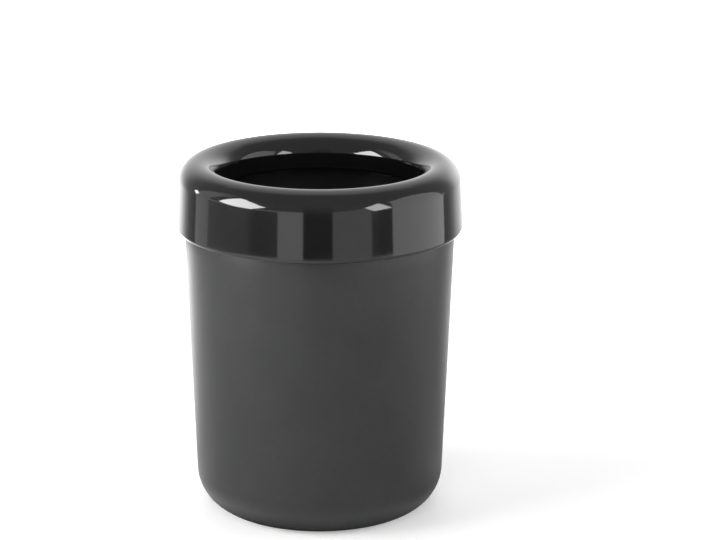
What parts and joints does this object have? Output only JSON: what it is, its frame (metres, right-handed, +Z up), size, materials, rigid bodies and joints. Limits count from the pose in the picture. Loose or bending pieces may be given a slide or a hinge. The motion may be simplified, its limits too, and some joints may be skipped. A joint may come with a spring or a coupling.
{
  "type": "tabletop cutlery holder",
  "caption": "Round black tabletop cutlery holder: a tapered satin cup with a large base radius, under a glossy half-round ring that lifts off its rim.",
  "frame": {"origin": "on the axis of the holder, in the plane of the foot ring it stands on", "axes": "+Z up along the axis of the cup and the ring; X and Y are free because the holder is round, and -Y is the side the picture was taken from"},
  "size_m": [0.1262, 0.1262, 0.1588],
  "materials": {
    "cup_satin_black": "satin moulded plastic, fine even grain",
    "ring_gloss_black": "polished high gloss"
  },
  "bodies": {
    "cup": {"cup_body": "cup_satin_black"},
    "ring": {"top_ring": "ring_gloss_black"}
  },
  "joints": [
    {"name": "ring_lift", "type": "slide", "parent": "cup", "child": "ring", "axis": [0, 0, 1], "range_m": [0, 0.06]}
  ]
}
